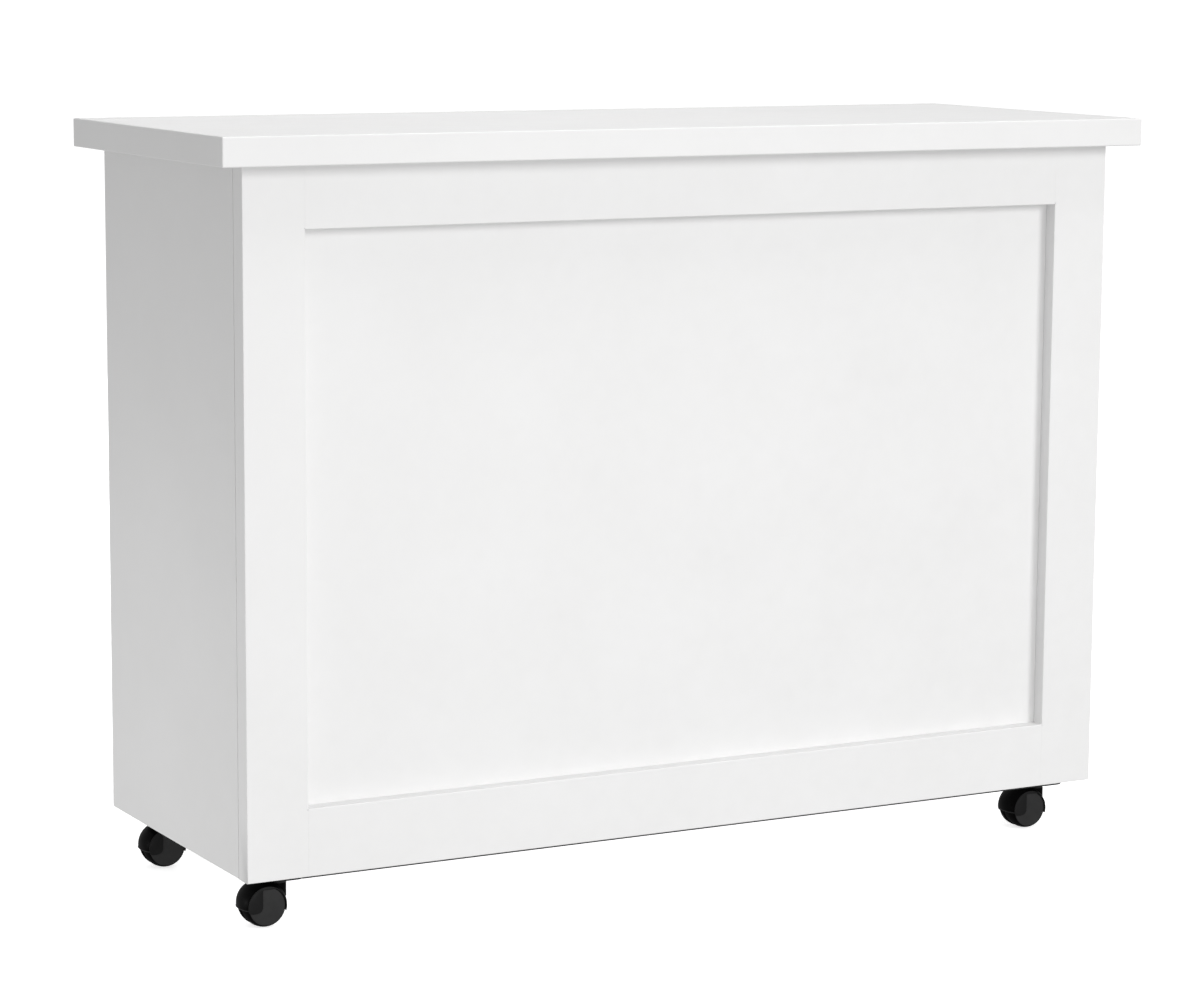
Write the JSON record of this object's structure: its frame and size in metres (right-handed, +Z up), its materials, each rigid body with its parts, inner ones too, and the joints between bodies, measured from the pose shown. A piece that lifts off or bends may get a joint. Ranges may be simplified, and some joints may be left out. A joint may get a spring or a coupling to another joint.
{
  "type": "folding portable bar",
  "caption": "Folding portable bar: thick overhanging top on a shaker-panel front, inward-folding sides and flip-down shelves, rolling on hooded swivel casters.",
  "frame": {"origin": "on the floor, below the middle of the bar top", "axes": "+Z up, +X along the bar to the right as a guest sees it, +Y from the front panel towards the open back"},
  "size_m": [1.452, 0.547, 1.067],
  "materials": {
    "white_paint": "satin white paint over smooth board",
    "beech": "bare turned dowel",
    "hinge_steel": "plain zinc-plated steel",
    "black_steel": "black powder coat",
    "black_plastic": "moulded black nylon, satin"
  },
  "bodies": {
    "front_frame": {"left_stile": "white_paint", "right_stile": "white_paint", "top_rail": "white_paint", "bottom_rail": "white_paint", "front_panel": "white_paint", "left_corner_post": "white_paint", "right_corner_post": "white_paint", "base_batten": "white_paint", "left_locating_dowel": "beech", "right_locating_dowel": "beech", "left_side_hinge_post_leaf": "hinge_steel", "left_side_hinge_pin": "hinge_steel", "right_side_hinge_post_leaf": "hinge_steel", "right_side_hinge_pin": "hinge_steel", "base_shelf_hinge_panel_leaf": "hinge_steel", "base_shelf_hinge_pin": "hinge_steel", "middle_shelf_hinge_panel_leaf": "hinge_steel", "middle_shelf_hinge_pin": "hinge_steel", "front_left_caster_plate": "black_steel", "front_right_caster_plate": "black_steel", "front_left_caster_stem": "black_plastic", "front_right_caster_stem": "black_plastic"},
    "bar_top": {"bar_top": "white_paint"},
    "base_shelf": {"base_shelf": "white_paint", "base_shelf_hinge_shelf_leaf": "hinge_steel"},
    "middle_shelf": {"middle_shelf": "white_paint", "middle_shelf_hinge_shelf_leaf": "hinge_steel"},
    "left_side": {"left_side_panel": "white_paint", "left_side_hinge_side_leaf": "hinge_steel", "left_lower_cleat": "white_paint", "left_middle_cleat": "white_paint", "rear_left_caster_bracket": "black_steel", "rear_left_caster_stem": "black_plastic"},
    "right_side": {"right_side_panel": "white_paint", "right_side_hinge_side_leaf": "hinge_steel", "right_lower_cleat": "white_paint", "right_middle_cleat": "white_paint", "rear_right_caster_bracket": "black_steel", "rear_right_caster_stem": "black_plastic"},
    "front_left_swivel": {"front_left_caster_hood": "black_plastic", "front_left_caster_axle": "hinge_steel"},
    "front_left_wheel_front": {"front_left_caster_wheel_front": "black_plastic"},
    "front_left_wheel_back": {"front_left_caster_wheel_back": "black_plastic"},
    "front_right_swivel": {"front_right_caster_hood": "black_plastic", "front_right_caster_axle": "hinge_steel"},
    "front_right_wheel_front": {"front_right_caster_wheel_front": "black_plastic"},
    "front_right_wheel_back": {"front_right_caster_wheel_back": "black_plastic"},
    "rear_left_swivel": {"rear_left_caster_hood": "black_plastic", "rear_left_caster_axle": "hinge_steel"},
    "rear_left_wheel_front": {"rear_left_caster_wheel_front": "black_plastic"},
    "rear_left_wheel_back": {"rear_left_caster_wheel_back": "black_plastic"},
    "rear_right_swivel": {"rear_right_caster_hood": "black_plastic", "rear_right_caster_axle": "hinge_steel"},
    "rear_right_wheel_front": {"rear_right_caster_wheel_front": "black_plastic"},
    "rear_right_wheel_back": {"rear_right_caster_wheel_back": "black_plastic"}
  },
  "joints": [
    {"name": "top_lift", "type": "slide", "parent": "front_frame", "child": "bar_top", "axis": [0, 0, 1], "range_m": [0, 0.35]},
    {"name": "left_side_fold", "type": "hinge", "parent": "front_frame", "child": "left_side", "pos_m": [-0.6637, -0.1632, 0.55], "axis": [0, 0, -1], "range_deg": [0, 90]},
    {"name": "right_side_fold", "type": "hinge", "parent": "front_frame", "child": "right_side", "pos_m": [0.6637, -0.1632, 0.55], "axis": [0, 0, 1], "range_deg": [0, 90]},
    {"name": "base_shelf_flip", "type": "hinge", "parent": "front_frame", "child": "base_shelf", "pos_m": [0, -0.2082, 0.1538], "axis": [1, 0, 0], "range_deg": [-90, 0]},
    {"name": "middle_shelf_flip", "type": "hinge", "parent": "front_frame", "child": "middle_shelf", "pos_m": [0, -0.2082, 0.5933], "axis": [1, 0, 0], "range_deg": [-90, 0]},
    {"name": "front_left_swivel", "type": "hinge", "parent": "front_frame", "child": "front_left_swivel", "pos_m": [-0.622, -0.1935, 0.05], "axis": [0, 0, 1], "continuous": true},
    {"name": "front_left_wheel_front_spin", "type": "hinge", "parent": "front_left_swivel", "child": "front_left_wheel_front", "pos_m": [-0.646, -0.2086, 0.03], "axis": [0, 1, 0], "continuous": true},
    {"name": "front_left_wheel_back_spin", "type": "hinge", "parent": "front_left_swivel", "child": "front_left_wheel_back", "pos_m": [-0.646, -0.1784, 0.03], "axis": [0, 1, 0], "continuous": true},
    {"name": "front_right_swivel", "type": "hinge", "parent": "front_frame", "child": "front_right_swivel", "pos_m": [0.622, -0.1935, 0.05], "axis": [0, 0, 1], "continuous": true},
    {"name": "front_right_wheel_front_spin", "type": "hinge", "parent": "front_right_swivel", "child": "front_right_wheel_front", "pos_m": [0.598, -0.2086, 0.03], "axis": [0, 1, 0], "continuous": true},
    {"name": "front_right_wheel_back_spin", "type": "hinge", "parent": "front_right_swivel", "child": "front_right_wheel_back", "pos_m": [0.598, -0.1784, 0.03], "axis": [0, 1, 0], "continuous": true},
    {"name": "rear_left_swivel", "type": "hinge", "parent": "left_side", "child": "rear_left_swivel", "pos_m": [-0.622, 0.1695, 0.05], "axis": [0, 0, 1], "continuous": true},
    {"name": "rear_left_wheel_front_spin", "type": "hinge", "parent": "rear_left_swivel", "child": "rear_left_wheel_front", "pos_m": [-0.646, 0.1544, 0.03], "axis": [0, 1, 0], "continuous": true},
    {"name": "rear_left_wheel_back_spin", "type": "hinge", "parent": "rear_left_swivel", "child": "rear_left_wheel_back", "pos_m": [-0.646, 0.1846, 0.03], "axis": [0, 1, 0], "continuous": true},
    {"name": "rear_right_swivel", "type": "hinge", "parent": "right_side", "child": "rear_right_swivel", "pos_m": [0.622, 0.1695, 0.05], "axis": [0, 0, 1], "continuous": true},
    {"name": "rear_right_wheel_front_spin", "type": "hinge", "parent": "rear_right_swivel", "child": "rear_right_wheel_front", "pos_m": [0.598, 0.1544, 0.03], "axis": [0, 1, 0], "continuous": true},
    {"name": "rear_right_wheel_back_spin", "type": "hinge", "parent": "rear_right_swivel", "child": "rear_right_wheel_back", "pos_m": [0.598, 0.1846, 0.03], "axis": [0, 1, 0], "continuous": true}
  ]
}
